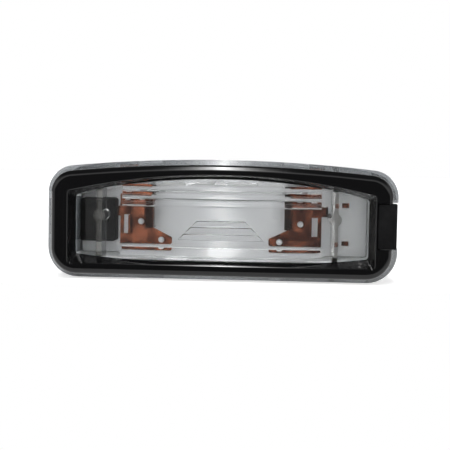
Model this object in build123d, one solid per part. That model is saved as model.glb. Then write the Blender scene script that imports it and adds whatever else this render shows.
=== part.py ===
from build123d import *
import math
import os
from dataclasses import dataclass

# Number plate lamp, in millimetres. X runs along the lamp, Z is up, and the lens looks along -Y.
# The origin is the middle of the flange's back face, which lies on the body panel.

# Clear flange: its outline is the outline of the whole lamp
LAMP_LENGTH = 96.0
LAMP_HEIGHT = 32.9
LAMP_ARCH_RADIUS = 400.0
LAMP_TOP_CORNER = 7.4
LAMP_FOOT_CORNER = 8.3
FLANGE_THICKNESS = 2.2
FLANGE_CHAMFER = 1.7

# Black ring on the flange, with a sloped opening through it
RIM_WIDTH = 1.4
RIM_END_WIDTH = 1.9
RING_HEIGHT = 4.8
RING_END_WIDTH = 4.6
RING_TOP_WIDTH = 2.7
RING_FOOT_WIDTH = 3.0
RING_EDGE_RADIUS = 1.6
RING_LIP_CHAMFER = 0.15
OPENING_ARCH_RADIUS = 180.0
OPENING_CORNER = 1.0
OPENING_DRAFT = 18.0
OPENING_FOOT_DRAFT = 26.0

# Window of the lens, bulged about an upright axis, and the box wall behind it
LENS_SINK = 0.8
LENS_THICKNESS = 2.0
COLLAR_MARGIN = 0.5
COLLAR_END_MARGIN = 1.8
COLLAR_CORNER = 3.1
SKIRT_WALL = 1.6
SKIRT_DEPTH = 11.0
SKIRT_DRAFT = 4.0

# Optics on the inner face of the window
OPTIC_HALF_LENGTH = 27.3
FLUTE_COUNT = 4
FLUTE_PITCH = 2.0
FLUTE_RISE = 0.33
FLUTE_TOP = 11.5
PRISM_COUNT = 3
PRISM_PITCH = 1.9
PRISM_RISE = 0.9
PRISM_TOP = 0.1
PRISM_TOP_HALF_WIDTH = 6.6
PRISM_DRAFT = 18.0
FOOT_PRISM_TOP = -7.4
FOOT_PRISM_HEIGHT = 2.2
FOOT_PRISM_RISE = 0.5
OPTIC_ROOT = 0.5

# Ribs and posts that stand behind the window, and a short rib on the foot wall
RIB_INSET = 3.2
RIB_REACH = 1.75
RIB_THICKNESS = 1.6
RIB_CLEARANCE = 0.3
POST_DIAMETER = 3.5
POST_HEIGHT = 0.7
WALL_RIB_START = -16.0
WALL_RIB_LENGTH = 6.3
WALL_RIB_DEPTH = 6.0
WALL_RIB_SIZE = 0.8

# Panel hook on the left end of the box
PANEL_THICKNESS = 3.0
HOOK_WIDTH = 10.0
HOOK_REACH = 2.6
HOOK_THICKNESS = 2.0

# Silicone seal between the box wall and the back cap
SEAL_THICKNESS = 0.8
SEAL_INSET = 0.2

# Back cap: floor, lip round the box wall, snap loops over lugs
FLOOR_THICKNESS = 2.0
LIP_THICKNESS = 1.2
LIP_DEPTH = 2.2
LIP_CLEARANCE = 0.15
SNAP_OFFSET = 20.0
SNAP_WIDTH = 7.0
SNAP_SIDE = 1.4
SNAP_THICKNESS = 1.2
SNAP_START = 3.2
SNAP_BAR = 1.6
SNAP_CLEARANCE = 0.15
LUG_HEIGHT = 0.9
LUG_LENGTH = 2.6
LUG_ROOT = 1.0

# Bulb contacts, stamped from copper strip; their places on X are measured from the bulb's middle
BULB_PLACE = -1.0
SHEET = 0.5
BEND_RADIUS = 0.9
CONTACT_SPACING = 38.0
CONTACT_GAP = 0.35
CONTACT_INNER = 19.8
CONTACT_TOP = 6.4
CONTACT_FOOT = -7.8
TONGUE_TIP = 13.8
TONGUE_ROOT_HEIGHT = -2.8
TONGUE_TIP_HEIGHT = -5.8
TONGUE_CORNER = 0.6
BARB_HEIGHT = 2.7
BARB_WIDTH = 2.0
BARB_REACH = 0.4
BULB_HEIGHT = 1.2
BULB_DEPTH = 5.5
BULB_HOLE = 4.4
BLADE_WIDTH = 7.6
BLADE_LEAN = 0.7
BLADE_FLARE = 1.8
BLADE_NECK_DEPTH = 2.8
BLADE_TIP_DEPTH = 0.4
BLADE_CORNER = 1.2
TAB_INSET = 3.1
TAB_TOP = 0.5
TAB_FOOT = -4.9
TAB_HEIGHT = 4.0
TAB_SLOT = 1.8
PEG_DIAMETER = 1.6
PEG_STAND = 0.6
TONGUE_PEG_RISE = 1.2
BASE_PEG_HEIGHT = -1.4

# Return strip on the back of the cap, and the slots it shows through
ANCHOR_REACH = 0.8
ANCHOR_GAP = 0.7
ANCHOR_TOP = 5.5
ANCHOR_FOOT = -8.0
SLOT_HEIGHT = 1.4
SLOT_ROWS = (4.1, -6.7)
SLOT_INSETS = ((2.6, 2.0), (5.6, 2.2))
TAIL_REACH = 1.5
TAIL_HEIGHT = 2.2
TAIL_WIDTH = 2.8
TAIL_FOLD = 2.4
TAIL_BEND_RADIUS = 0.5
CHANNEL_RIB = 1.0
CHANNEL_DEPTH = 1.4
CHANNEL_CLEARANCE = 0.2

# Plug socket, with its mouth at the back
SOCKET_GAP = 0.2
SOCKET_LENGTH = 10.35
SOCKET_HEIGHT = -0.9
SOCKET_HALF_HEIGHT = 6.05
SOCKET_WALL = 1.3
SOCKET_REACH = 4.8
SOCKET_STAND = 8.7
SOCKET_CORNER = 0.8
SOCKET_COLLAR_WIDTH = 1.2
SOCKET_COLLAR_THICKNESS = 1.0
SOCKET_CLEARANCE = 0.1
PIN_WIDTH = 2.8
PIN_PITCH = 4.8
PIN_STAND = 3.7
CATCH_WIDTH = 3.0
CATCH_LENGTH = 2.4
CATCH_SETBACK = 2.2

# Sprung latch at the right end, with its release pad in a notch of the ring and the flange
LATCH_WIDTH = 12.2
LATCH_HEIGHT = -0.6
LATCH_CLEARANCE = 0.15
LATCH_SINK = 0.6
PAD_LENGTH = 5.2
PAD_INSET = 0.8
PAD_EDGE_RADIUS = 0.4
PAD_LIFT = 0.2
ARM_WIDTH = 9.0
ARM_THICKNESS = 1.3
ARM_INSET = 1.9
LATCH_REACH = 1.6
LATCH_HOOK_LENGTH = 4.6
LATCH_HOOK_LAND = 0.6
NOTCH_MARGIN = 0.5
LATCH_FOOT_LENGTH = 8.4
LATCH_FOOT_THICKNESS = 1.4
LATCH_STAKE_INSET = 2.6
LATCH_STAKE_PITCH = 5.0
LATCH_STAKE_DIAMETER = 1.6
LATCH_STAKE_HEAD = 2.6
LATCH_STAKE_HEAD_HEIGHT = 0.6
HOLE_CLEARANCE = 0.1

# Depths worked out from the sizes above
FLANGE_FRONT = -FLANGE_THICKNESS
RING_FRONT = FLANGE_FRONT - RING_HEIGHT
LENS_FRONT = RING_FRONT + LENS_SINK
SKIRT_SLOPE = math.tan(math.radians(SKIRT_DRAFT))
OPENING_SLOPE = math.tan(math.radians(OPENING_DRAFT))
PRISM_SLOPE = math.tan(math.radians(PRISM_DRAFT))
FLOOR_FRONT = SKIRT_DEPTH + SEAL_THICKNESS
FLOOR_BACK = FLOOR_FRONT + FLOOR_THICKNESS
SHEET_DEPTH = FLOOR_FRONT - SHEET / 2
STRIP_DEPTH = FLOOR_BACK + SHEET / 2
SOCKET_FRONT = FLOOR_FRONT - SOCKET_REACH
SOCKET_MOUTH = FLOOR_BACK + SOCKET_STAND
PIN_TIP = FLOOR_BACK + PIN_STAND

# Least round on a corner, and how far a cut runs past what it cuts
LEAST_CORNER = 0.1
BEYOND = 1.0


@dataclass(frozen=True)
class Outline:
    """Outline in X and Z with a flat foot, upright ends, an arched top and round corners."""

    half: float
    foot: float
    crown: float
    arch: float
    top_corner: float
    foot_corner: float

    def grown(self, by):
        """The same outline, moved outwards all round."""
        return Outline(
            self.half + by,
            self.foot - by,
            self.crown + by,
            self.arch + by,
            max(self.top_corner + by, LEAST_CORNER),
            max(self.foot_corner + by, LEAST_CORNER),
        )

    def top(self, x):
        """Height of the arched top at x."""
        return self.crown - self.arch + math.sqrt(self.arch**2 - x**2)

    def sketch(self):
        left = (-self.half, self.top(self.half))
        right = (self.half, self.top(self.half))
        sides = Polyline(right, (self.half, self.foot), (-self.half, self.foot), left)
        shape = make_face(sides + ThreePointArc(left, (0, self.crown), right))
        if self.foot_corner:
            shape = fillet(shape.vertices().sort_by(Axis.Y)[:2], self.foot_corner)
        if self.top_corner:
            shape = fillet(shape.vertices().sort_by(Axis.Y)[-2:], self.top_corner)
        return shape

    def prism(self, front, back):
        """Solid from one depth to another."""
        return slab(self.sketch(), front, back)

    def drafted(self, front, back, angle):
        """Solid from one depth to another whose sides lean in towards the back."""
        solid = self.prism(front, back)
        sides = solid.faces().sort_by(Axis.Y)[1:-1]
        return draft(sides, Plane.XZ.offset(-front), -angle)


def slab(sketch, front, back):
    """Carry a sketch of X and Z from one depth to another."""
    return extrude(Plane.XZ.offset(-front) * sketch, amount=front - back)


def upright(sketch, low, high):
    """Carry a sketch of X and Y from one height to another."""
    return extrude(Plane.XY.offset(low) * sketch, amount=high - low)


def block(x, y, z):
    """Box between a pair of values on each axis."""
    size = [abs(pair[1] - pair[0]) for pair in (x, y, z)]
    middle = [(pair[1] + pair[0]) / 2 for pair in (x, y, z)]
    return Pos(*middle) * Box(*size)


def rod(x, z, diameter, front, back):
    """Round bar along Y."""
    return slab(Pos(x, z) * Circle(diameter / 2), front, back)


def bent_sheet(points, low, high, radius=BEND_RADIUS):
    """Sheet metal bent along a path of X and Y, as wide as the gap between two heights."""
    return upright(trace(FilletPolyline(*points, radius=radius), SHEET), low, high)


LAMP = Outline(
    LAMP_LENGTH / 2,
    -LAMP_HEIGHT / 2,
    LAMP_HEIGHT / 2,
    LAMP_ARCH_RADIUS,
    LAMP_TOP_CORNER,
    LAMP_FOOT_CORNER,
)
RING = Outline(
    LAMP.half - RIM_END_WIDTH,
    LAMP.foot + RIM_WIDTH,
    LAMP.crown - RIM_WIDTH,
    LAMP.arch - RIM_WIDTH,
    LAMP.top_corner - RIM_WIDTH,
    LAMP.foot_corner - RIM_WIDTH,
)
OPENING = Outline(
    RING.half - RING_END_WIDTH,
    RING.foot + RING_FOOT_WIDTH,
    RING.crown - RING_TOP_WIDTH,
    OPENING_ARCH_RADIUS,
    0,
    0,
)
COLLAR = Outline(
    OPENING.half + COLLAR_END_MARGIN,
    OPENING.foot - COLLAR_MARGIN,
    OPENING.crown + COLLAR_MARGIN,
    OPENING.arch + COLLAR_MARGIN,
    COLLAR_CORNER,
    COLLAR_CORNER,
)

# The window meets the flange's front at the ends of the opening, which sets its bulge
WINDOW_HALF = OPENING.half - RING_HEIGHT * OPENING_SLOPE
WINDOW_RISE = FLANGE_FRONT - LENS_FRONT
BULGE_RADIUS = (WINDOW_HALF**2 + WINDOW_RISE**2) / (2 * WINDOW_RISE)
BULGE_CENTRE = LENS_FRONT + BULGE_RADIUS
BULGE_AXIS = Axis((0, BULGE_CENTRE, 0), (0, 0, 1))

# The latch pad ends just short of the lamp's right end
PAD_OUTER = LAMP.half - PAD_INSET
PAD_INNER = PAD_OUTER - PAD_LENGTH
ARM_OUTER = LAMP.half - ARM_INSET
ARM_INNER = ARM_OUTER - ARM_THICKNESS
NOTCH_INNER = COLLAR.half + NOTCH_MARGIN
NOTCH_HALF = LATCH_WIDTH / 2 + LATCH_CLEARANCE
LATCH_FOOT_START = ARM_OUTER - LATCH_FOOT_LENGTH
LATCH_STAKE_PLACE = LATCH_FOOT_START + LATCH_STAKE_INSET
LATCH_STAKES = [
    (LATCH_STAKE_PLACE, LATCH_HEIGHT - LATCH_STAKE_PITCH / 2),
    (LATCH_STAKE_PLACE, LATCH_HEIGHT + LATCH_STAKE_PITCH / 2),
]


def skirt(depth):
    """Outer outline of the drafted box wall at a depth behind the flange."""
    return COLLAR.grown(-depth * SKIRT_SLOPE)


# The plug socket stands against the left end of the box, and the contacts reach up to it
SOCKET_LEFT = SKIRT_WALL + SOCKET_GAP - skirt(FLOOR_FRONT).half
SOCKET_RIGHT = SOCKET_LEFT + SOCKET_LENGTH
PIN_PLACE = (SOCKET_LEFT + SOCKET_RIGHT) / 2
CONTACT_OUTER = BULB_PLACE - SOCKET_RIGHT - CONTACT_GAP - BARB_REACH
TAB_OFFSET = CONTACT_OUTER - TAB_INSET
CONTACT_PEGS = [
    ((TONGUE_TIP + CONTACT_INNER) / 2, CONTACT_FOOT + TONGUE_PEG_RISE),
    ((CONTACT_INNER + TAB_OFFSET) / 2, BASE_PEG_HEIGHT),
]
TAIL_PLACE = BULB_PLACE + CONTACT_OUTER + TAIL_REACH
ANCHOR_START = TAIL_PLACE + ANCHOR_REACH
ANCHOR_END = LATCH_FOOT_START - ANCHOR_GAP
LEFT_RIB = SOCKET_RIGHT - RIB_INSET
RIGHT_RIB = TAIL_PLACE + RIB_REACH


def bulge(radius):
    """Upright cylinder about the window's axis."""
    return Pos(0, BULGE_CENTRE, 0) * Cylinder(radius, 2 * LAMP_HEIGHT)


def latch_notch(inner, front, back):
    """Room for the latch pad, from a place on X out past the lamp's end."""
    heights = (LATCH_HEIGHT - NOTCH_HALF, LATCH_HEIGHT + NOTCH_HALF)
    return block((inner, LAMP.half + BEYOND), (front, back), heights)


def snap_places():
    """Frames of the snaps on the box wall: local Z points out of the wall, local Y to the back."""
    places = []
    for x in (-SNAP_OFFSET, SNAP_OFFSET):
        tilt = math.degrees(math.asin(x / COLLAR.arch))
        places.append(Location((x, 0, COLLAR.top(x)), (0, tilt, 0)))
        places.append(Location((x, 0, COLLAR.foot), (0, 180, 0)))
    return places


def ring_opening():
    """Opening through the ring: its walls lean in towards the window, the foot wall most."""
    hole = OPENING.prism(RING_FRONT, FLANGE_FRONT + BEYOND)
    front = Plane.XZ.offset(-RING_FRONT)
    walls = hole.faces().sort_by(Axis.Y)[1:-1].sort_by(Axis.Z)
    hole = draft(walls[1:], front, -OPENING_DRAFT)
    foot = hole.faces().sort_by(Axis.Z)[0]
    hole = draft(foot, front, -OPENING_FOOT_DRAFT)
    ends = hole.faces().sort_by(Axis.Y)
    mitres = hole.edges() - ends[0].edges() - ends[-1].edges()
    return fillet(mitres, OPENING_CORNER)


def make_bezel():
    """Black ring with a rounded outer edge, hollowed behind to clear the bulged window."""
    ring = RING.prism(RING_FRONT, FLANGE_FRONT)
    ring = fillet(ring.faces().sort_by(Axis.Y)[0].edges(), RING_EDGE_RADIUS)
    ring -= ring_opening()
    lip = ring.faces().sort_by(Axis.Y)[0].inner_wires()[0].edges()
    ring = chamfer(lip, RING_LIP_CHAMFER)
    room = COLLAR.grown(LIP_CLEARANCE).prism(RING_FRONT, FLANGE_FRONT)
    ring -= room & bulge(BULGE_RADIUS + LIP_CLEARANCE)
    return ring - latch_notch(PAD_INNER - LATCH_CLEARANCE, RING_FRONT - BEYOND, FLANGE_FRONT + BEYOND)


def optic_ridge(points, half_length):
    """Ridge on the window's inner face, turned about the bulge axis from a profile of Y and Z."""
    turn = math.degrees(math.asin(half_length / BULGE_RADIUS))
    profile = Plane.YZ * make_face(points)
    profile = Pos(0, BULGE_CENTRE, 0) * Rot(0, 0, -turn) * Pos(0, -BULGE_CENTRE, 0) * profile
    return revolve(profile, BULGE_AXIS, 2 * turn)


def flute(top):
    """Rounded horizontal flute."""
    face = LENS_FRONT + LENS_THICKNESS
    root = face - OPTIC_ROOT
    foot = top - FLUTE_PITCH
    crest = ThreePointArc((face, top), (face + FLUTE_RISE, top - FLUTE_PITCH / 2), (face, foot))
    rest = Polyline((face, foot), (root, foot), (root, top), (face, top))
    return optic_ridge(crest + rest, OPTIC_HALF_LENGTH)


def wedge(top, height, rise, half_length):
    """Sawtooth prism with a leaning riser at the top, fading into the window at its foot."""
    face = LENS_FRONT + LENS_THICKNESS
    root = face - OPTIC_ROOT
    crest = (face + rise, top - rise * PRISM_SLOPE)
    corners = [(root, top), (face, top), crest, (face, top - height), (root, top - height)]
    return optic_ridge(Polyline(*corners, close=True), half_length)


def window_optics():
    """Flutes above, stepped prisms with slanted ends in the middle, one long prism at the foot."""
    optics = flute(FLUTE_TOP)
    for index in range(1, FLUTE_COUNT):
        optics += flute(FLUTE_TOP - index * FLUTE_PITCH)
    drop = PRISM_COUNT * PRISM_PITCH
    wide = PRISM_TOP_HALF_WIDTH + drop
    ends = Polyline(
        (-PRISM_TOP_HALF_WIDTH, PRISM_TOP),
        (PRISM_TOP_HALF_WIDTH, PRISM_TOP),
        (wide, PRISM_TOP - drop),
        (-wide, PRISM_TOP - drop),
        close=True,
    )
    root = Plane.XZ.offset(OPTIC_ROOT - LENS_FRONT - LENS_THICKNESS)
    trim = extrude(root * make_face(ends), amount=-LENS_THICKNESS - PRISM_RISE, taper=PRISM_DRAFT)
    for index in range(PRISM_COUNT):
        optics += wedge(PRISM_TOP - index * PRISM_PITCH, PRISM_PITCH, PRISM_RISE, wide) & trim
    return optics + wedge(FOOT_PRISM_TOP, FOOT_PRISM_HEIGHT, FOOT_PRISM_RISE, OPTIC_HALF_LENGTH)


def window_rib(place, end):
    """Upright rib with a round post, from the window back to a depth."""
    across = (place - RIB_THICKNESS / 2, place + RIB_THICKNESS / 2)
    rib = block(across, (LENS_FRONT, end), (LAMP.foot, LAMP.crown))
    return rib + rod(place, POST_HEIGHT, POST_DIAMETER, LENS_FRONT, end)


def snap_lug():
    """Lug in a snap's own frame: flat in front, ramped behind."""
    start = SNAP_START + SNAP_BAR + SNAP_CLEARANCE
    end = start + LUG_LENGTH
    foot = -end * SKIRT_SLOPE
    top = (start + LUG_LENGTH / 4, LUG_HEIGHT)
    corners = [(start, foot - LUG_ROOT), (start, LUG_HEIGHT), top, (end, foot), (end, foot - LUG_ROOT)]
    width = SNAP_WIDTH / 2 - SNAP_SIDE - SNAP_CLEARANCE
    return extrude(Plane.YZ * make_face(Polyline(*corners, close=True)), amount=width, both=True)


def panel_hook():
    """Hook on the left end that goes behind the panel's edge, with a sloped back."""
    wall = -skirt(PANEL_THICKNESS + HOOK_THICKNESS).half + SKIRT_WALL / 2
    tip = -COLLAR.half - HOOK_REACH
    far = PANEL_THICKNESS + HOOK_THICKNESS
    nose = (tip, far - HOOK_THICKNESS / 2)
    corners = [(wall, PANEL_THICKNESS), (tip, PANEL_THICKNESS), nose, (wall, far)]
    return upright(make_face(Polyline(*corners, close=True)), -HOOK_WIDTH / 2, HOOK_WIDTH / 2)


def make_lens():
    """Clear moulding: flange, bulged window, drafted box wall, optics, ribs, lugs and panel hook."""
    flange = LAMP.prism(FLANGE_FRONT, 0)
    flange = chamfer(flange.faces().sort_by(Axis.Y)[0].edges(), FLANGE_CHAMFER)
    flange -= latch_notch(NOTCH_INNER, FLANGE_FRONT - BEYOND, BEYOND)
    outer = COLLAR.prism(LENS_FRONT - BEYOND, 0)
    inner = COLLAR.grown(-SKIRT_WALL)
    cavity = inner.prism(LENS_FRONT - BEYOND, 0)
    cavity += inner.drafted(0, SKIRT_DEPTH, SKIRT_DRAFT)
    lens = flange + (outer & bulge(BULGE_RADIUS)) + COLLAR.drafted(0, SKIRT_DEPTH, SKIRT_DRAFT)
    lens -= cavity & bulge(BULGE_RADIUS - LENS_THICKNESS)
    inside = cavity & bulge(BULGE_RADIUS - LENS_THICKNESS / 2)
    lens += window_optics() & inside
    lens += window_rib(LEFT_RIB, SOCKET_FRONT - RIB_CLEARANCE) & inside
    lens += window_rib(RIGHT_RIB, FLOOR_FRONT - SHEET - RIB_CLEARANCE) & inside
    floor = inner.foot + WALL_RIB_DEPTH * SKIRT_SLOPE
    lens += block(
        (WALL_RIB_START, WALL_RIB_START + WALL_RIB_LENGTH),
        (WALL_RIB_DEPTH - WALL_RIB_SIZE / 2, WALL_RIB_DEPTH + WALL_RIB_SIZE / 2),
        (floor - SKIRT_WALL / 2, floor + WALL_RIB_SIZE),
    )
    for place in snap_places():
        lens += place * snap_lug()
    return lens + panel_hook()


def make_seal():
    """Flat silicone ring that the box wall presses on the cap's floor."""
    rear = skirt(SKIRT_DEPTH)
    hole = rear.grown(SEAL_INSET - SKIRT_WALL)
    return rear.grown(-SEAL_INSET).prism(SKIRT_DEPTH, FLOOR_FRONT) - hole.prism(SKIRT_DEPTH, FLOOR_FRONT)


def snap_loop():
    """Loop in a snap's own frame, from the cap's floor forward over the lug."""
    low = -SNAP_START * SKIRT_SLOPE + SNAP_CLEARANCE
    high = low + SNAP_THICKNESS
    half = SNAP_WIDTH / 2
    window_start = SNAP_START + SNAP_BAR
    window_end = window_start + LUG_LENGTH + 2 * SNAP_CLEARANCE
    loop = block((-half, half), (SNAP_START, FLOOR_BACK), (low, high))
    return loop - block((SNAP_SIDE - half, half - SNAP_SIDE), (window_start, window_end), (low, high))


def latch_stake(x, z):
    """Pin through the latch's foot, closed by a flat head melted on its back."""
    seat = FLOOR_BACK + LATCH_FOOT_THICKNESS
    pin = rod(x, z, LATCH_STAKE_DIAMETER, FLOOR_BACK, seat)
    return pin + rod(x, z, LATCH_STAKE_HEAD, seat, seat + LATCH_STAKE_HEAD_HEIGHT)


def pin_heights(side, clearance=0.0):
    """Lower and upper edge of one plug pin."""
    middle = SOCKET_HEIGHT + side * PIN_PITCH / 2
    half = PIN_WIDTH / 2 + clearance
    return (middle - half, middle + half)


def tail_heights(clearance=0.0):
    """Lower and upper edge of the right contact's tail."""
    half = TAIL_WIDTH / 2 + clearance
    return (TAIL_HEIGHT - half, TAIL_HEIGHT + half)


def make_carrier():
    """Pale back cap that closes the box, holds the contacts and carries the latch."""
    edge = skirt(FLOOR_FRONT - LIP_DEPTH)
    rim = edge.grown(LIP_CLEARANCE + LIP_THICKNESS)
    cap = rim.prism(FLOOR_FRONT - LIP_DEPTH, FLOOR_BACK)
    cap -= edge.grown(LIP_CLEARANCE).drafted(FLOOR_FRONT - LIP_DEPTH, FLOOR_FRONT, SKIRT_DRAFT)
    for place in snap_places():
        cap += place * snap_loop()
    for side in (-1, 1):
        for x, z in CONTACT_PEGS:
            place = BULB_PLACE + side * x
            cap += rod(place, z, PEG_DIAMETER, FLOOR_FRONT - SHEET - PEG_STAND, FLOOR_FRONT)
    through = (FLOOR_FRONT - BEYOND, FLOOR_BACK + BEYOND)
    for inset, width in SLOT_INSETS:
        across = (ANCHOR_END - inset - width / 2, ANCHOR_END - inset + width / 2)
        for z in SLOT_ROWS:
            cap -= block(across, through, (z - SLOT_HEIGHT / 2, z + SLOT_HEIGHT / 2))
    half = SHEET / 2 + HOLE_CLEARANCE
    tail_way = (TAIL_PLACE - half - TAIL_BEND_RADIUS, TAIL_PLACE + half)
    cap -= block(tail_way, through, tail_heights(HOLE_CLEARANCE))
    low, high = pin_heights(-1, CHANNEL_CLEARANCE)
    channel = (SOCKET_RIGHT + SOCKET_COLLAR_WIDTH + SOCKET_CLEARANCE, TAIL_PLACE - TAIL_FOLD)
    deep = (FLOOR_BACK, FLOOR_BACK + CHANNEL_DEPTH)
    cap += block(channel, deep, (low - CHANNEL_RIB, low))
    cap += block(channel, deep, (high, high + CHANNEL_RIB))
    cap -= socket_box(SOCKET_CLEARANCE, FLOOR_FRONT - BEYOND, FLOOR_BACK + BEYOND)
    for x, z in LATCH_STAKES:
        cap += latch_stake(x, z)
    return cap


def contact_base():
    """Flat of the right contact: plate with a barbed outer edge and a tongue that slopes inwards."""
    barb_low = BARB_HEIGHT - BARB_WIDTH / 2
    barb_high = BARB_HEIGHT + BARB_WIDTH / 2
    edge = Polyline(
        (CONTACT_OUTER, CONTACT_FOOT),
        (CONTACT_OUTER, barb_low),
        (CONTACT_OUTER + BARB_REACH, barb_low),
        (CONTACT_OUTER, barb_high),
        (CONTACT_OUTER, CONTACT_TOP),
        (CONTACT_INNER, CONTACT_TOP),
        (CONTACT_INNER, TONGUE_ROOT_HEIGHT),
        (TONGUE_TIP, TONGUE_TIP_HEIGHT),
        (TONGUE_TIP, CONTACT_FOOT),
        close=True,
    )
    plate = make_face(edge)
    tip = plate.vertices().group_by(Axis.X)[0]
    plate = fillet(tip, TONGUE_CORNER)
    for x, z in CONTACT_PEGS:
        plate -= Pos(x, z) * Circle(PEG_DIAMETER / 2 + HOLE_CLEARANCE)
    slot = Pos(TAB_OFFSET + (SHEET + TAB_SLOT) / 2, (TAB_TOP + TAB_FOOT) / 2)
    plate -= slot * Rectangle(TAB_SLOT, TAB_TOP - TAB_FOOT)
    return slab(plate, FLOOR_FRONT - SHEET, FLOOR_FRONT)


def contact_blade():
    """Sprung blade with a hole for the bulb's end cap, leaning in and flared at its tip."""
    place = CONTACT_SPACING / 2
    neck = (place - BLADE_LEAN, BLADE_NECK_DEPTH)
    tip = (place - BLADE_LEAN + BLADE_FLARE, BLADE_TIP_DEPTH)
    path = [(CONTACT_INNER + BEYOND, SHEET_DEPTH), (place, SHEET_DEPTH), neck, tip]
    low, high = BULB_HEIGHT - BLADE_WIDTH / 2, BULB_HEIGHT + BLADE_WIDTH / 2
    blade = bent_sheet(path, low, high)
    tip_corners = blade.faces().sort_by(Axis.Y)[0].edges().sort_by(SortBy.LENGTH)[:2]
    blade = fillet(tip_corners, BLADE_CORNER)
    hole = Rot(0, 90, 0) * Cylinder(BULB_HOLE / 2, CONTACT_SPACING / 4)
    return blade - Pos(place, BULB_DEPTH, BULB_HEIGHT) * hole


def contact_body():
    """Right contact without its tail."""
    tab = block(
        (TAB_OFFSET - SHEET / 2, TAB_OFFSET + SHEET / 2),
        (FLOOR_FRONT - SHEET - TAB_HEIGHT, FLOOR_FRONT),
        (TAB_FOOT, TAB_TOP),
    )
    return contact_base() + contact_blade() + tab


def make_right_contact():
    """Right contact, with a tail through the floor that folds over the return strip."""
    back = STRIP_DEPTH + SHEET
    path = [
        (BULB_PLACE + CONTACT_OUTER - BEYOND, SHEET_DEPTH),
        (TAIL_PLACE, SHEET_DEPTH),
        (TAIL_PLACE, back),
        (TAIL_PLACE + TAIL_FOLD, back),
    ]
    return Pos(BULB_PLACE) * contact_body() + bent_sheet(path, *tail_heights(), TAIL_BEND_RADIUS)


def make_left_contact():
    """Left contact, the mirror of the right, with a leg that ends as the upper plug pin."""
    root = BULB_PLACE - CONTACT_OUTER + BEYOND
    path = [(root, SHEET_DEPTH), (PIN_PLACE, SHEET_DEPTH), (PIN_PLACE, PIN_TIP)]
    return Pos(BULB_PLACE) * mirror(contact_body(), Plane.YZ) + bent_sheet(path, *pin_heights(1))


def make_return_strip():
    """Strip along the back of the cap, from under the right contact's tail to the lower plug pin."""
    anchor = block(
        (ANCHOR_START, ANCHOR_END),
        (FLOOR_BACK, FLOOR_BACK + SHEET),
        (ANCHOR_FOOT, ANCHOR_TOP),
    )
    path = [(ANCHOR_START + BEYOND, STRIP_DEPTH), (PIN_PLACE, STRIP_DEPTH), (PIN_PLACE, PIN_TIP)]
    return anchor + bent_sheet(path, *pin_heights(-1))


def socket_box(grow, front, back):
    """Box in the plug socket's outline, round at the corners where there is room for it."""
    length = SOCKET_RIGHT - SOCKET_LEFT + 2 * grow
    height = 2 * (SOCKET_HALF_HEIGHT + grow)
    corner = SOCKET_CORNER + grow
    outline = RectangleRounded(length, height, corner) if corner > 0 else Rectangle(length, height)
    return slab(Pos(PIN_PLACE, SOCKET_HEIGHT) * outline, front, back)


def make_connector_shell():
    """Black two-way socket, seated on the back of the cap by its collar."""
    shell = socket_box(0, SOCKET_FRONT, SOCKET_MOUTH)
    shell += socket_box(SOCKET_COLLAR_WIDTH, FLOOR_BACK, FLOOR_BACK + SOCKET_COLLAR_THICKNESS)
    shell -= socket_box(-SOCKET_WALL, SOCKET_FRONT + SOCKET_WALL, SOCKET_MOUTH + BEYOND)
    half = SHEET / 2 + HOLE_CLEARANCE
    way_in = (SOCKET_RIGHT - SOCKET_WALL - BEYOND, SOCKET_RIGHT + SOCKET_COLLAR_WIDTH + BEYOND)
    for side, depth in ((1, SHEET_DEPTH), (-1, STRIP_DEPTH)):
        shell -= block(way_in, (depth - half, depth + half), pin_heights(side, HOLE_CLEARANCE))
    catch = SOCKET_MOUTH - CATCH_SETBACK
    return shell - block(
        (PIN_PLACE - CATCH_WIDTH / 2, PIN_PLACE + CATCH_WIDTH / 2),
        (catch - CATCH_LENGTH, catch),
        (SOCKET_HEIGHT, SOCKET_HEIGHT + SOCKET_HALF_HEIGHT + BEYOND),
    )


def make_latch():
    """Sprung latch: foot staked behind the cap, arm along the right end, hook and release pad."""
    back = FLOOR_BACK + LATCH_FOOT_THICKNESS
    hook = ARM_OUTER + LATCH_REACH
    pad_back = FLANGE_FRONT - PAD_LIFT
    arm = Polyline(
        (ARM_INNER, pad_back),
        (ARM_OUTER, pad_back),
        (ARM_OUTER, PANEL_THICKNESS),
        (hook, PANEL_THICKNESS),
        (hook, PANEL_THICKNESS + LATCH_HOOK_LAND),
        (ARM_OUTER, PANEL_THICKNESS + LATCH_HOOK_LENGTH),
        (ARM_OUTER, back),
        (LATCH_FOOT_START, back),
        (LATCH_FOOT_START, FLOOR_BACK),
        (ARM_INNER, FLOOR_BACK),
        close=True,
    )
    profile = make_face(arm)
    heel = profile.vertices().sort_by_distance((ARM_OUTER, back))[0]
    profile = fillet(heel, ARM_THICKNESS)
    latch = upright(profile, LATCH_HEIGHT - ARM_WIDTH / 2, LATCH_HEIGHT + ARM_WIDTH / 2)
    pad = block(
        (PAD_INNER, PAD_OUTER),
        (RING_FRONT + LATCH_SINK, pad_back),
        (LATCH_HEIGHT - LATCH_WIDTH / 2, LATCH_HEIGHT + LATCH_WIDTH / 2),
    )
    pad = fillet(pad.faces().sort_by(Axis.Y)[0].edges(), PAD_EDGE_RADIUS)
    latch += pad
    for x, z in LATCH_STAKES:
        latch -= rod(x, z, LATCH_STAKE_DIAMETER + 2 * HOLE_CLEARANCE, FLOOR_BACK - BEYOND, back + BEYOND)
    return latch


os.makedirs("parts", exist_ok=True)
NODES = {
    "lens": make_lens,
    "bezel": make_bezel,
    "carrier": make_carrier,
    "seal": make_seal,
    "left_contact": make_left_contact,
    "right_contact": make_right_contact,
    "return_strip": make_return_strip,
    "connector_shell": make_connector_shell,
    "latch": make_latch,
}
for name, make in NODES.items():
    export_step(make(), f"parts/{name}.step")
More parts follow.
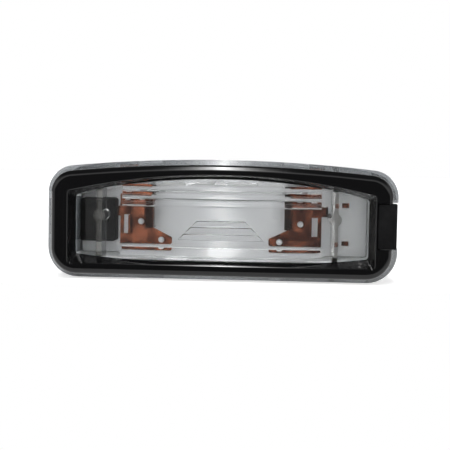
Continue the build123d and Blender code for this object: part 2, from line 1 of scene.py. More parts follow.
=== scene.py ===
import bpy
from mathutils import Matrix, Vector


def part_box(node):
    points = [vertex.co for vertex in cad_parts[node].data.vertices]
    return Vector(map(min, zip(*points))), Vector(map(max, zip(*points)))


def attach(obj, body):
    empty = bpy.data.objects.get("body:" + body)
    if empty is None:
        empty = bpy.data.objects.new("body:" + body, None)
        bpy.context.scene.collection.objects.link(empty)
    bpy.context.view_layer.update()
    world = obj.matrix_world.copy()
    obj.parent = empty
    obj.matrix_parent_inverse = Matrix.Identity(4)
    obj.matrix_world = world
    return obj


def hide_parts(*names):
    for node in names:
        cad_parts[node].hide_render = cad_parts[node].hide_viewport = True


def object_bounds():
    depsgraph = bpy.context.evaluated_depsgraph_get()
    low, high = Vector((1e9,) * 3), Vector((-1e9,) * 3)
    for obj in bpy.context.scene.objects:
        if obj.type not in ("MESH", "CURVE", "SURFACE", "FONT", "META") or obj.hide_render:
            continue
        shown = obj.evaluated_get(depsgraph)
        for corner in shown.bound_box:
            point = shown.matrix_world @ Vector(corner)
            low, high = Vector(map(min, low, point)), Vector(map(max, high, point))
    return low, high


bl_info = {
    "name": "Number Plate Lamp",
    "version": (1, 0, 0),
    "blender": (4, 5, 0),
    "location": "View3D > Sidebar > Plate Lamp",
    "description": "Rounds, colours and stages a clear-fronted number plate lamp",
    "category": "Object",
}

import math

import bpy
from bpy.props import FloatProperty, FloatVectorProperty, PointerProperty
from bpy.types import Operator, Panel, PropertyGroup
from mathutils import Quaternion, Vector

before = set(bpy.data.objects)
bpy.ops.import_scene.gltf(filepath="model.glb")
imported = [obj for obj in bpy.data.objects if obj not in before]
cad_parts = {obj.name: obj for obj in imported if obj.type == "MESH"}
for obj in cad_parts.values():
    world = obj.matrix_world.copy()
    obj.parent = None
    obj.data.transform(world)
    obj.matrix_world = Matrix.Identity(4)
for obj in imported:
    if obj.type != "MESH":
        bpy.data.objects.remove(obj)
CAD_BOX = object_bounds()

MM = 0.001

# Corners of the CAD triangles that lie this near are one
MERGE_DISTANCE = 0.001 * MM

# Edges up to the first angle are shaded smooth, faces that meet within the second are joined,
# and edges past the third are rounded
SMOOTH_ANGLE = math.radians(28)
FLAT_ANGLE = math.radians(0.3)
SHARP_ANGLE = math.radians(35)

# Materials of the lens, in the order of its slots; all after the first paint shade or light into
# the clear plastic
POLISHED, EDGE_SHADE, STEP_SHADE, RIB_LIGHT_END, RIB_SHADE_END, RIB_SHADE_SIDE = range(6)

# How far a face's normal points along an axis, from square to it down to nearly in line with it
SQUARE, STEEP, LEANING, SIDEWAYS, LEVEL = 0.9, 0.6, 0.5, 0.3, 0.1

# Where the lens has its nested prisms, its two upright ribs and its outer edge
PRISM_REACH = 16 * MM
PRISM_FOOT, PRISM_TOP = -7 * MM, 0.5 * MM
RIB_NEAR, RIB_FAR = 28 * MM, 36 * MM
RIB_FOOT, RIB_TOP = -14 * MM, 7 * MM
RIB_ROOT, RIB_END = -3 * MM, 5 * MM
EDGE_FRONT = -0.5 * MM

# The ring's back is drawn a hair in front of the flange, because two faces can't share a plane
RING_BACK_BAND = 0.01 * MM
RING_GAP = 0.03 * MM

# Side of the floor, its front edge and the rounding of its corners
FLOOR_SIZE = 2.0
FLOOR_FRONT = -18 * MM
FLOOR_CORNER = 120 * MM

# Directions in the room run from -1 to 1: how far the dark wall's middle lies below the camera,
# how far the soft lamp lies to the left, and how far it reaches to each side
WALL_DROP = 0.06
LAMP_SIDE = 0.054
LAMP_REACH = 0.2

# How steeply the soft lamp and its glow fade to their sides
LAMP_FALL = 8.0
GLOW_FALL = 4.0

# What the camera looks at, and how near it sees
AIM = Vector((0.94 * MM, -1.0 * MM, -1.3 * MM))
CLIP_START = 10 * MM


def linear(code):
    """Linear colour of an sRGB hex code."""
    parts = [int(code[start : start + 2], 16) / 255 for start in (1, 3, 5)]
    return tuple(v / 12.92 if v <= 0.04045 else ((v + 0.055) / 1.055) ** 2.4 for v in parts)


def colour(name, description, code):
    """Colour property with an sRGB hex code as its default."""
    return FloatVectorProperty(
        name=name,
        description=description,
        subtype="COLOR",
        size=3,
        min=0.0,
        max=1.0,
        default=linear(code),
    )


def length(name, description, size):
    """Length property, in metres."""
    return FloatProperty(name=name, description=description, default=size, unit="LENGTH")


def angle(name, description, degrees):
    """Angle property with degrees as its default."""
    turn = math.radians(degrees)
    return FloatProperty(name=name, description=description, default=turn, subtype="ANGLE")


def strength(name, description, level):
    """Light property, where 1 is white."""
    return FloatProperty(name=name, description=description, default=level, min=0.0)


class LampFinishes(PropertyGroup):
    """Colours of the lamp's pieces and the rounding of their edges"""

    clear: colour("Clear plastic", "Tint of the clear moulding", "#FDFEFE")
    # Painted shade: grey given to the clear flange's edge and left end wall, standing for the shade
    # seen through them
    edge: colour("Clear edge", "Grey that the clear moulding's thick edge shows", "#8E9295")
    # Painted shade: dark grey given to the prisms' steep faces, drawn as dark lines
    step: colour("Prism step", "Grey that the steep faces of the prisms show", "#3A3C3F")
    # Painted light: a pale milky tone that lightens the left rib's and post's ends
    rib_light: colour("Left rib", "Milky tone of the left rib's and post's ends", "#F8F4EC")
    # Painted shade: grey given to the right rib's end, post and sides, which also dulls the
    # reflection along its sides
    haze: colour("Right rib", "Hazy grey of the right rib and post", "#D4D2CE")
    ring: colour("Ring", "Gloss black of the ring", "#0B0B0C")
    dust: colour("Dust", "Grey of the dust on the ring", "#3A3A3A")
    cap: colour("Back cap", "Milky white of the back cap", "#F9FAFB")
    cloud: colour("Cap cloud", "Cooler white in the back cap", "#F0F1F4")
    seal: colour("Seal", "Milky grey of the seal", "#CFCFCC")
    bloom: colour("Seal bloom", "Pale bloom on the seal", "#DEDEDB")
    copper: colour("Copper", "Bright copper of the contacts", "#7B4934")
    # Real patches on all the copper, widened into painted shade on the right contact
    tarnish_and_shade: colour("Tarnish", "Brown that the copper has turned in places", "#341910")
    nylon: colour("Nylon", "Black of the socket and the latch", "#0C0C0D")
    scuff: colour("Scuff", "Grey of the scuffs on the socket and the latch", "#1A1A1B")
    cap_edge: length("Cap edges", "Rounding of the back cap's edges", 0.12 * MM)
    contact_edge: length("Contact edges", "Rounding of the contacts' edges", 0.06 * MM)
    fitting_edge: length("Fitting edges", "Rounding of the socket's and latch's edges", 0.2 * MM)


class LampStage(PropertyGroup):
    """Camera, light and floor"""

    floor: colour("Floor", "Colour of the floor", "#E9E9E9")
    lift: strength("Floor lift", "Light that whitens the floor where it is seen", 0.6)
    lamp: strength("Soft lamp", "Light of the long soft lamp overhead", 46.0)
    glow: strength("Glow", "Light of the soft lamp's glow in the clear plastic", 6.0)
    fill: strength("Fill", "Least light that comes through the clear plastic", 0.35)
    distance: length("Distance", "From the lamp to the camera", 290 * MM)
    turn: angle("Turn", "How far the camera stands to the right", 3)
    rise: angle("Rise", "How far the camera looks down", 3.5)
    roll: angle("Roll", "Turn of the camera about its own axis", 1)
    view: length("View width", "Width of the picture at the lamp", 123.2 * MM)


def add(tree, kind, values=None, links=None, **settings):
    """Add a node, set its options and socket values, and link its sockets."""
    node = tree.nodes.new(kind)
    for name, value in settings.items():
        setattr(node, name, value)
    for socket, value in (values or {}).items():
        node.inputs[socket].default_value = value
    for socket, source in (links or {}).items():
        tree.links.new(source, node.inputs[socket])
    return node


def new_material(name):
    """Empty material; gives the material and its node tree."""
    material = bpy.data.materials.new(name)
    material.use_nodes = True
    material.node_tree.nodes.clear()
    return material, material.node_tree


def per_metre(size_mm):
    """Noise scale whose patches are about this many millimetres across."""
    return 1 / (size_mm * MM)


def clear_polycarbonate(name, tint, clearness=1.0, shine=0.5):
    """Clear polycarbonate, moulded in a polished tool: bends light strongly, with a faint ripple.

    A lower clearness with a grey tint paints shade into a face, and with a pale tint paints light
    into it.
    """
    material, tree = new_material(name)
    place = add(tree, "ShaderNodeTexCoord")
    ripple = add(
        tree,
        "ShaderNodeTexNoise",
        {"Scale": per_metre(7), "Detail": 2.0, "Roughness": 0.4},
        {"Vector": place.outputs["Object"]},
    )
    haze = add(
        tree,
        "ShaderNodeTexNoise",
        {"Scale": per_metre(2.5), "Detail": 4.0},
        {"Vector": place.outputs["Object"]},
    )
    gloss = add(
        tree,
        "ShaderNodeMapRange",
        {"From Min": 0.45, "From Max": 0.75, "To Min": 0.0, "To Max": 0.05},
        {"Value": haze.outputs["Fac"]},
    )
    bump = add(
        tree,
        "ShaderNodeBump",
        {"Strength": 0.12, "Distance": 0.05 * MM},
        {"Height": ripple.outputs["Fac"]},
    )
    shader = add(
        tree,
        "ShaderNodeBsdfPrincipled",
        {
            "Base Color": (*tint, 1),
            "Transmission Weight": clearness,
            "IOR": 1.585,
            "Specular IOR Level": shine,
        },
        {"Roughness": gloss.outputs["Result"], "Normal": bump.outputs["Normal"]},
    )
    add(tree, "ShaderNodeOutputMaterial", links={"Surface": shader.outputs["BSDF"]})
    return material


def gloss_black_abs(finishes):
    """Black ABS from a polished tool: deep black and mirror-like, with handling marks and dust."""
    material, tree = new_material("black_abs_gloss")
    place = add(tree, "ShaderNodeTexCoord")
    peel = add(
        tree,
        "ShaderNodeTexNoise",
        {"Scale": per_metre(1.5), "Detail": 2.0},
        {"Vector": place.outputs["Object"]},
    )
    marks = add(
        tree,
        "ShaderNodeTexNoise",
        {"Scale": per_metre(9), "Detail": 6.0, "Roughness": 0.65},
        {"Vector": place.outputs["Object"]},
    )
    gloss = add(
        tree,
        "ShaderNodeMapRange",
        {"From Min": 0.35, "From Max": 0.7, "To Min": 0.03, "To Max": 0.09},
        {"Value": marks.outputs["Fac"]},
    )
    dust = add(
        tree,
        "ShaderNodeTexNoise",
        {"Scale": per_metre(0.5), "Detail": 3.0},
        {"Vector": place.outputs["Object"]},
    )
    speck = add(
        tree,
        "ShaderNodeMapRange",
        {"From Min": 0.68, "From Max": 0.85, "To Min": 0.0, "To Max": 0.2},
        {"Value": dust.outputs["Fac"]},
    )
    tone = add(
        tree,
        "ShaderNodeMix",
        {6: (*finishes.ring, 1), 7: (*finishes.dust, 1)},
        {0: speck.outputs["Result"]},
        data_type="RGBA",
    )
    bump = add(
        tree,
        "ShaderNodeBump",
        {"Strength": 0.08, "Distance": 0.04 * MM},
        {"Height": peel.outputs["Fac"]},
    )
    shader = add(
        tree,
        "ShaderNodeBsdfPrincipled",
        {"IOR": 1.5, "Specular IOR Level": 0.35},
        {
            "Base Color": tone.outputs[2],
            "Roughness": gloss.outputs["Result"],
            "Normal": bump.outputs["Normal"],
        },
    )
    add(tree, "ShaderNodeOutputMaterial", links={"Surface": shader.outputs["BSDF"]})
    return material


def satin_white_plastic(finishes):
    """White polycarbonate blend, moulded satin: fine tool grain and a slightly cloudy white."""
    material, tree = new_material("white_polycarbonate_blend_satin")
    place = add(tree, "ShaderNodeTexCoord")
    cloud = add(
        tree,
        "ShaderNodeTexNoise",
        {"Scale": per_metre(12), "Detail": 3.0},
        {"Vector": place.outputs["Object"]},
    )
    shade = add(
        tree,
        "ShaderNodeMix",
        {6: (*finishes.cap, 1), 7: (*finishes.cloud, 1)},
        {0: cloud.outputs["Fac"]},
        data_type="RGBA",
    )
    grain = add(
        tree,
        "ShaderNodeTexNoise",
        {"Scale": per_metre(0.3), "Detail": 3.0},
        {"Vector": place.outputs["Object"]},
    )
    gloss = add(
        tree,
        "ShaderNodeMapRange",
        {"To Min": 0.35, "To Max": 0.6},
        {"Value": grain.outputs["Fac"]},
    )
    bump = add(
        tree,
        "ShaderNodeBump",
        {"Strength": 0.25, "Distance": 0.03 * MM},
        {"Height": grain.outputs["Fac"]},
    )
    shader = add(
        tree,
        "ShaderNodeBsdfPrincipled",
        {"IOR": 1.5},
        {
            "Base Color": shade.outputs[2],
            "Roughness": gloss.outputs["Result"],
            "Normal": bump.outputs["Normal"],
        },
    )
    add(tree, "ShaderNodeOutputMaterial", links={"Surface": shader.outputs["BSDF"]})
    return material


def matt_silicone(finishes):
    """Silicone rubber, pressed: milky and dull, with a bloom that collects in patches."""
    material, tree = new_material("silicone_matt")
    place = add(tree, "ShaderNodeTexCoord")
    bloom = add(
        tree,
        "ShaderNodeTexNoise",
        {"Scale": per_metre(4), "Detail": 5.0},
        {"Vector": place.outputs["Object"]},
    )
    shade = add(
        tree,
        "ShaderNodeMix",
        {6: (*finishes.seal, 1), 7: (*finishes.bloom, 1)},
        {0: bloom.outputs["Fac"]},
        data_type="RGBA",
    )
    gloss = add(
        tree,
        "ShaderNodeMapRange",
        {"To Min": 0.55, "To Max": 0.8},
        {"Value": bloom.outputs["Fac"]},
    )
    shader = add(
        tree,
        "ShaderNodeBsdfPrincipled",
        {"IOR": 1.41},
        {"Base Color": shade.outputs[2], "Roughness": gloss.outputs["Result"]},
    )
    add(tree, "ShaderNodeOutputMaterial", links={"Surface": shader.outputs["BSDF"]})
    return material


def stamped_copper(name, finishes, painted_shade):
    """Copper strip, rolled and stamped: fine rolling lines and dark patches where the copper has
    turned.

    Where painted_shade is given, the patches are widened: painted shade that darkens the copper.
    """
    material, tree = new_material(name)
    place = add(tree, "ShaderNodeTexCoord")
    patches = add(
        tree,
        "ShaderNodeTexNoise",
        {"Scale": per_metre(3.5), "Detail": 5.0, "Roughness": 0.6},
        {"Vector": place.outputs["Object"]},
    )
    # The patches are real; painted_shade widens them into painted shade
    spread = add(
        tree,
        "ShaderNodeMapRange",
        {"From Min": 0.35 - painted_shade, "From Max": 0.62 - painted_shade},
        {"Value": patches.outputs["Fac"]},
    )
    shade = add(
        tree,
        "ShaderNodeMix",
        {6: (*finishes.copper, 1), 7: (*finishes.tarnish_and_shade, 1)},
        {0: spread.outputs["Result"]},
        data_type="RGBA",
    )
    # Rolling lines along X, drawn about 0.2 mm apart, which is coarser than real ones, to show
    along = add(
        tree,
        "ShaderNodeMapping",
        {"Scale": (0.04, 1.0, 1.0)},
        {"Vector": place.outputs["Object"]},
    )
    lines = add(
        tree,
        "ShaderNodeTexNoise",
        {"Scale": per_metre(0.2), "Detail": 2.0},
        {"Vector": along.outputs["Vector"]},
    )
    gloss = add(
        tree,
        "ShaderNodeMapRange",
        {"To Min": 0.14, "To Max": 0.34},
        {"Value": patches.outputs["Fac"]},
    )
    bump = add(
        tree,
        "ShaderNodeBump",
        {"Strength": 0.2, "Distance": 0.02 * MM},
        {"Height": lines.outputs["Fac"]},
    )
    shader = add(
        tree,
        "ShaderNodeBsdfPrincipled",
        {"Metallic": 1.0},
        {
            "Base Color": shade.outputs[2],
            "Roughness": gloss.outputs["Result"],
            "Normal": bump.outputs["Normal"],
        },
    )
    add(tree, "ShaderNodeOutputMaterial", links={"Surface": shader.outputs["BSDF"]})
    return material


def grained_nylon(finishes):
    """Black nylon from a spark-eroded tool: dull, with an even fine grain and grey scuffs."""
    material, tree = new_material("black_nylon_fine_grain")
    place = add(tree, "ShaderNodeTexCoord")
    grain = add(
        tree,
        "ShaderNodeTexVoronoi",
        {"Scale": per_metre(0.35)},
        {"Vector": place.outputs["Object"]},
    )
    scuff = add(
        tree,
        "ShaderNodeTexNoise",
        {"Scale": per_metre(5), "Detail": 6.0, "Roughness": 0.7},
        {"Vector": place.outputs["Object"]},
    )
    spread = add(
        tree,
        "ShaderNodeMapRange",
        {"From Min": 0.45, "From Max": 0.8},
        {"Value": scuff.outputs["Fac"]},
    )
    shade = add(
        tree,
        "ShaderNodeMix",
        {6: (*finishes.nylon, 1), 7: (*finishes.scuff, 1)},
        {0: spread.outputs["Result"]},
        data_type="RGBA",
    )
    gloss = add(
        tree,
        "ShaderNodeMapRange",
        {"To Min": 0.48, "To Max": 0.66},
        {"Value": scuff.outputs["Fac"]},
    )
    bump = add(
        tree,
        "ShaderNodeBump",
        {"Strength": 0.3, "Distance": 0.04 * MM},
        {"Height": grain.outputs["Distance"]},
    )
    shader = add(
        tree,
        "ShaderNodeBsdfPrincipled",
        {"IOR": 1.53, "Specular IOR Level": 0.06},
        {
            "Base Color": shade.outputs[2],
            "Roughness": gloss.outputs["Result"],
            "Normal": bump.outputs["Normal"],
        },
    )
    add(tree, "ShaderNodeOutputMaterial", links={"Surface": shader.outputs["BSDF"]})
    return material


def dress(piece, *materials):
    """Give a piece its materials."""
    piece.data.materials.clear()
    for material in materials:
        piece.data.materials.append(material)


def moulded_copy(node, name):
    """Merged copy of a CAD node, as a piece that stands for it."""
    piece = bpy.data.objects.new(name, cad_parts[node].data.copy())
    bpy.context.scene.collection.objects.link(piece)
    bpy.ops.object.select_all(action="DESELECT")
    piece.select_set(True)
    bpy.context.view_layer.objects.active = piece
    bpy.ops.mesh.customdata_custom_splitnormals_clear()
    bpy.ops.object.mode_set(mode="EDIT")
    bpy.ops.mesh.select_all(action="SELECT")
    bpy.ops.mesh.remove_doubles(threshold=MERGE_DISTANCE)
    bpy.ops.mesh.normals_make_consistent(inside=False)
    bpy.ops.object.mode_set(mode="OBJECT")
    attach(piece, "root")
    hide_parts(node)
    return piece


def apply_modifier(piece, kind, **settings):
    """Add a modifier to a piece and apply it."""
    modifier = piece.modifiers.new(kind.lower(), kind)
    for name, value in settings.items():
        setattr(modifier, name, value)
    bpy.ops.object.modifier_apply(modifier=modifier.name)


def smooth(piece):
    """Shade curves smooth and keep flats flat."""
    bpy.ops.object.shade_smooth_by_angle(angle=SMOOTH_ANGLE)
    apply_modifier(piece, "WEIGHTED_NORMAL", keep_sharp=True, weight=90)


def break_edges(piece, width):
    """Round a piece's sharp edges by a small width."""
    bpy.ops.object.mode_set(mode="EDIT")
    bpy.ops.mesh.select_all(action="SELECT")
    bpy.ops.mesh.dissolve_limited(angle_limit=FLAT_ANGLE, delimit={"SHARP"})
    bpy.ops.object.mode_set(mode="OBJECT")
    apply_modifier(
        piece,
        "BEVEL",
        width=width,
        segments=2,
        limit_method="ANGLE",
        angle_limit=SHARP_ANGLE,
        use_clamp_overlap=False,
    )
    smooth(piece)


def lens_slot(face, flange_front):
    """Slot of the material that a face of the lens shows."""
    x, y, z = face.center
    aside, ahead = abs(face.normal.x), abs(face.normal.y)
    rib = RIB_NEAR < abs(x) < RIB_FAR
    # The left rib's end gets painted light, and the right rib's end painted shade
    if rib and face.normal.y > SQUARE and y > RIB_END and RIB_FOOT < z < RIB_TOP:
        return RIB_LIGHT_END if x < 0 else RIB_SHADE_END
    # The right rib's sides get a painted shade that dulls their reflection
    if rib and x > 0 and ahead < SIDEWAYS < aside and y > RIB_ROOT:
        return RIB_SHADE_SIDE
    # The prisms' steep faces get a painted shade, drawn as dark lines
    prism = abs(x) < PRISM_REACH and PRISM_FOOT < z < PRISM_TOP
    if prism and ahead < STEEP and y < flange_front:
        return STEP_SHADE
    # The flange's chamfer and outer edge get a painted shade
    chamfer = -SQUARE < face.normal.y < -LEANING
    edge = ahead < LEVEL and y > EDGE_FRONT
    if flange_front <= y <= 0 and (chamfer or edge):
        return EDGE_SHADE
    # The left end wall, beside the black socket, gets the same painted shade
    if aside > SQUARE and x < 0 < y:
        return EDGE_SHADE
    return POLISHED


class PLATELAMP_OT_lens(Operator):
    """Finish the clear moulding"""

    bl_idname = "plate_lamp.lens"
    bl_label = "Lens"

    def execute(self, context):
        finishes = context.scene.lamp_finishes
        lens = moulded_copy("lens", "lens_moulding")
        smooth(lens)
        dress(
            lens,
            clear_polycarbonate("clear_polycarbonate_polished", finishes.clear),
            # Painted shade on the flange's edge and the left end wall
            clear_polycarbonate("clear_polycarbonate_edge_shade", finishes.edge, clearness=0.7),
            # Painted shade on the prisms' steep faces
            clear_polycarbonate("clear_polycarbonate_step_shade", finishes.step, clearness=0.2),
            # Painted light on the left rib's and post's ends
            clear_polycarbonate("clear_polycarbonate_rib_end_light", finishes.rib_light, clearness=0.76),
            # Painted shade on the right rib's end, post and sides
            clear_polycarbonate("clear_polycarbonate_rib_end_shade", finishes.haze, clearness=0.85),
            clear_polycarbonate(
                "clear_polycarbonate_rib_side_shade", finishes.haze, clearness=0.25, shine=0.1
            ),
        )
        flange_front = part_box("bezel")[1].y
        for face in lens.data.polygons:
            face.material_index = lens_slot(face, flange_front)
        return {"FINISHED"}


class PLATELAMP_OT_ring(Operator):
    """Finish the black ring"""

    bl_idname = "plate_lamp.ring"
    bl_label = "Ring"

    def execute(self, context):
        ring = moulded_copy("bezel", "ring_moulding")
        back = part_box("bezel")[1].y
        for vertex in ring.data.vertices:
            if back - vertex.co.y < RING_BACK_BAND:
                vertex.co.y -= RING_GAP
        smooth(ring)
        dress(ring, gloss_black_abs(context.scene.lamp_finishes))
        return {"FINISHED"}


class PLATELAMP_OT_cap(Operator):
    """Finish the back cap and its seal"""

    bl_idname = "plate_lamp.cap"
    bl_label = "Back cap and seal"

    def execute(self, context):
        finishes = context.scene.lamp_finishes
        cap = moulded_copy("carrier", "back_cap")
        break_edges(cap, finishes.cap_edge)
        dress(cap, satin_white_plastic(finishes))
        dress(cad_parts["seal"], matt_silicone(finishes))
        return {"FINISHED"}


class PLATELAMP_OT_contacts(Operator):
    """Finish the bulb contacts and the return strip"""

    bl_idname = "plate_lamp.contacts"
    bl_label = "Contacts"

    def execute(self, context):
        finishes = context.scene.lamp_finishes
        bright = stamped_copper("copper_strip_tarnished", finishes, painted_shade=0.0)
        # The right contact's copper gets wider dark patches: painted shade
        shaded_copper = stamped_copper("copper_strip_shaded", finishes, painted_shade=0.1)
        metals = {"left_contact": bright, "right_contact": shaded_copper, "return_strip": bright}
        for node, copper in metals.items():
            contact = moulded_copy(node, "stamped_" + node)
            break_edges(contact, finishes.contact_edge)
            dress(contact, copper)
        return {"FINISHED"}


class PLATELAMP_OT_fittings(Operator):
    """Finish the plug socket and the latch"""

    bl_idname = "plate_lamp.fittings"
    bl_label = "Socket and latch"

    def execute(self, context):
        finishes = context.scene.lamp_finishes
        nylon = grained_nylon(finishes)
        for node, name in (("connector_shell", "plug_socket"), ("latch", "sprung_latch")):
            fitting = moulded_copy(node, name)
            break_edges(fitting, finishes.fitting_edge)
            dress(fitting, nylon)
        return {"FINISHED"}


def pale_floor(stage):
    """Floor paint: shows the lamp's shadow, and is white where nothing shades it."""
    material, tree = new_material("floor_pale_matt")
    path = add(tree, "ShaderNodeLightPath")
    first = add(
        tree,
        "ShaderNodeMath",
        links={0: path.outputs["Is Camera Ray"], 1: path.outputs["Is Glossy Ray"]},
        operation="MAXIMUM",
    )
    seen = add(
        tree,
        "ShaderNodeMath",
        links={0: first.outputs[0], 1: path.outputs["Is Transmission Ray"]},
        operation="MAXIMUM",
    )
    lift = add(
        tree,
        "ShaderNodeMath",
        {1: stage.lift},
        {0: seen.outputs[0]},
        operation="MULTIPLY",
    )
    shader = add(
        tree,
        "ShaderNodeBsdfPrincipled",
        {
            "Base Color": (*stage.floor, 1),
            "Roughness": 0.8,
            "Specular IOR Level": 0.0,
            "Emission Color": (1, 1, 1, 1),
        },
        {"Emission Strength": lift.outputs[0]},
    )
    add(tree, "ShaderNodeOutputMaterial", links={"Surface": shader.outputs["BSDF"]})
    return material


def light_room(scene, stage):
    """World: pale all round, with a dark wall behind the camera and one long soft lamp overhead."""
    scene.world = bpy.data.worlds.new("studio")
    scene.world.use_nodes = True
    tree = scene.world.node_tree
    tree.nodes.clear()
    way = add(tree, "ShaderNodeTexCoord")
    split = add(tree, "ShaderNodeSeparateXYZ", links={"Vector": way.outputs["Generated"]})
    # Dark wall behind the camera, a little below its height
    facing = add(
        tree,
        "ShaderNodeMapRange",
        {"From Min": -0.5, "From Max": -0.8},
        {"Value": split.outputs["Y"]},
        interpolation_type="SMOOTHSTEP",
    )
    drop = add(tree, "ShaderNodeMath", {1: WALL_DROP}, {0: split.outputs["Z"]}, operation="ADD")
    slope = add(tree, "ShaderNodeMath", links={0: drop.outputs[0]}, operation="ABSOLUTE")
    height = add(
        tree,
        "ShaderNodeMapRange",
        {"From Min": 0.24, "From Max": 0.1},
        {"Value": slope.outputs[0]},
        interpolation_type="SMOOTHSTEP",
    )
    wall = add(
        tree,
        "ShaderNodeMath",
        links={0: facing.outputs["Result"], 1: height.outputs["Result"]},
        operation="MULTIPLY",
    )
    walls = add(
        tree,
        "ShaderNodeMapRange",
        {"To Min": 1.0, "To Max": 0.05},
        {"Value": wall.outputs[0]},
    )
    # The room is paler in front of the lamp than behind it, and its ceiling is dim
    front = add(
        tree,
        "ShaderNodeMapRange",
        {"From Min": 0.2, "From Max": -0.6, "To Min": 0.45, "To Max": 1.4},
        {"Value": split.outputs["Y"]},
        interpolation_type="SMOOTHSTEP",
    )
    shell = add(
        tree,
        "ShaderNodeMath",
        links={0: walls.outputs["Result"], 1: front.outputs["Result"]},
        operation="MULTIPLY",
    )
    ceiling = add(
        tree,
        "ShaderNodeMapRange",
        {"From Min": 0.3, "From Max": 0.7, "To Min": 1.4, "To Max": 0.1},
        {"Value": split.outputs["Z"]},
        interpolation_type="SMOOTHSTEP",
    )
    level = add(
        tree,
        "ShaderNodeMath",
        links={0: shell.outputs[0], 1: ceiling.outputs["Result"]},
        operation="MINIMUM",
    )
    # Long soft lamp just left of the middle, from above the camera to straight overhead
    aside = add(tree, "ShaderNodeMath", {1: LAMP_SIDE}, {0: split.outputs["X"]}, operation="ADD")
    off = add(tree, "ShaderNodeMath", links={0: aside.outputs[0]}, operation="ABSOLUTE")
    fade = add(
        tree,
        "ShaderNodeMapRange",
        {"From Min": LAMP_REACH, "From Max": 0.0},
        {"Value": off.outputs[0]},
    )
    across = add(
        tree,
        "ShaderNodeMath",
        {1: LAMP_FALL},
        {0: fade.outputs["Result"]},
        operation="POWER",
    )
    near = add(
        tree,
        "ShaderNodeMapRange",
        {"From Min": 0.25, "From Max": 0.5, "To Min": 0.0, "To Max": stage.lamp},
        {"Value": split.outputs["Z"]},
        interpolation_type="SMOOTHSTEP",
    )
    far = add(
        tree,
        "ShaderNodeMapRange",
        {"From Min": 0.1, "From Max": -0.2},
        {"Value": split.outputs["Y"]},
        interpolation_type="SMOOTHSTEP",
    )
    reach = add(
        tree,
        "ShaderNodeMath",
        links={0: near.outputs["Result"], 1: far.outputs["Result"]},
        operation="MULTIPLY",
    )
    lit = add(
        tree,
        "ShaderNodeMath",
        links={0: across.outputs[0], 1: reach.outputs[0], 2: level.outputs[0]},
        operation="MULTIPLY_ADD",
    )
    # Its glow further down, which only the light that passes through the clear plastic shows
    path = add(tree, "ShaderNodeLightPath")
    wide = add(
        tree,
        "ShaderNodeMath",
        {1: GLOW_FALL},
        {0: fade.outputs["Result"]},
        operation="POWER",
    )
    inside = add(
        tree,
        "ShaderNodeMath",
        {1: stage.glow},
        {0: path.outputs["Is Transmission Ray"]},
        operation="MULTIPLY",
    )
    glow = add(
        tree,
        "ShaderNodeMath",
        links={0: wide.outputs[0], 1: inside.outputs[0]},
        operation="MULTIPLY",
    )
    glowing = add(
        tree,
        "ShaderNodeMath",
        links={0: glow.outputs[0], 1: far.outputs["Result"], 2: lit.outputs[0]},
        operation="MULTIPLY_ADD",
    )
    # The backdrop is white to the camera, and no darker than the fill through the clear plastic
    clear = add(
        tree,
        "ShaderNodeMath",
        {1: stage.fill},
        {0: path.outputs["Is Transmission Ray"], 2: path.outputs["Is Camera Ray"]},
        operation="MULTIPLY_ADD",
    )
    seen = add(
        tree,
        "ShaderNodeMath",
        links={0: glowing.outputs[0], 1: clear.outputs[0]},
        operation="MAXIMUM",
    )
    room = add(tree, "ShaderNodeBackground", {"Color": (1, 1, 1, 1)}, {"Strength": seen.outputs[0]})
    add(tree, "ShaderNodeOutputWorld", links={"Surface": room.outputs["Background"]})


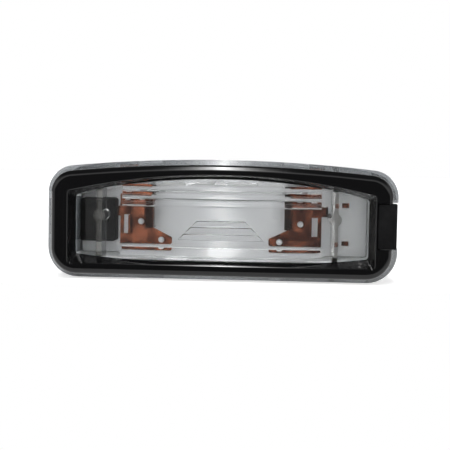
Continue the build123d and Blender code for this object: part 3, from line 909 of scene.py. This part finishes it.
class PLATELAMP_OT_stage(Operator):
    """Set up the floor, the light and the camera"""

    bl_idname = "plate_lamp.stage"
    bl_label = "Stage"

    def execute(self, context):
        stage = context.scene.lamp_stage
        bpy.ops.object.select_all(action="DESELECT")
        middle = (0, FLOOR_SIZE / 2 + FLOOR_FRONT, CAD_BOX[0].z)
        bpy.ops.mesh.primitive_plane_add(size=FLOOR_SIZE, location=middle)
        floor = context.object
        floor.name = "floor"
        bpy.ops.object.mode_set(mode="EDIT")
        bpy.ops.mesh.select_all(action="SELECT")
        bpy.ops.mesh.bevel(offset=FLOOR_CORNER, segments=8, affect="VERTICES")
        bpy.ops.object.mode_set(mode="OBJECT")
        bpy.ops.object.transform_apply(location=True, rotation=True, scale=True)
        floor.data.materials.append(pale_floor(stage))
        light_room(context.scene, stage)
        context.scene.view_settings.view_transform = "Standard"

        back = Vector(
            (
                math.sin(stage.turn) * math.cos(stage.rise),
                -math.cos(stage.turn) * math.cos(stage.rise),
                math.sin(stage.rise),
            )
        )
        bpy.ops.object.camera_add(location=AIM + back * stage.distance)
        camera = context.object
        camera.name = "camera"
        camera.rotation_mode = "QUATERNION"
        level = (-back).to_track_quat("-Z", "Y")
        camera.rotation_quaternion = level @ Quaternion((0, 0, 1), stage.roll)
        camera.data.lens = camera.data.sensor_width * stage.distance / stage.view
        camera.data.clip_start = CLIP_START
        context.scene.camera = camera
        return {"FINISHED"}


class PLATELAMP_PT_panel(Panel):
    """Finishes and stage of the lamp"""

    bl_idname = "PLATELAMP_PT_panel"
    bl_label = "Plate Lamp"
    bl_space_type = "VIEW_3D"
    bl_region_type = "UI"
    bl_category = "Plate Lamp"

    def draw(self, context):
        for group in (context.scene.lamp_finishes, context.scene.lamp_stage):
            box = self.layout.box()
            for name in group.bl_rna.properties.keys():
                if name not in ("rna_type", "name"):
                    box.prop(group, name)
        for operator in OPERATORS:
            self.layout.operator(operator.bl_idname)


OPERATORS = (
    PLATELAMP_OT_lens,
    PLATELAMP_OT_ring,
    PLATELAMP_OT_cap,
    PLATELAMP_OT_contacts,
    PLATELAMP_OT_fittings,
    PLATELAMP_OT_stage,
)
CLASSES = (LampFinishes, LampStage, *OPERATORS, PLATELAMP_PT_panel)


def register():
    for cls in CLASSES:
        bpy.utils.register_class(cls)
    bpy.types.Scene.lamp_finishes = PointerProperty(type=LampFinishes)
    bpy.types.Scene.lamp_stage = PointerProperty(type=LampStage)


def unregister():
    del bpy.types.Scene.lamp_stage
    del bpy.types.Scene.lamp_finishes
    for cls in reversed(CLASSES):
        bpy.utils.unregister_class(cls)


def main():
    register()
    bpy.ops.plate_lamp.lens()
    bpy.ops.plate_lamp.ring()
    bpy.ops.plate_lamp.cap()
    bpy.ops.plate_lamp.contacts()
    bpy.ops.plate_lamp.fittings()
    bpy.ops.plate_lamp.stage()


if __name__ == "__main__":
    main()
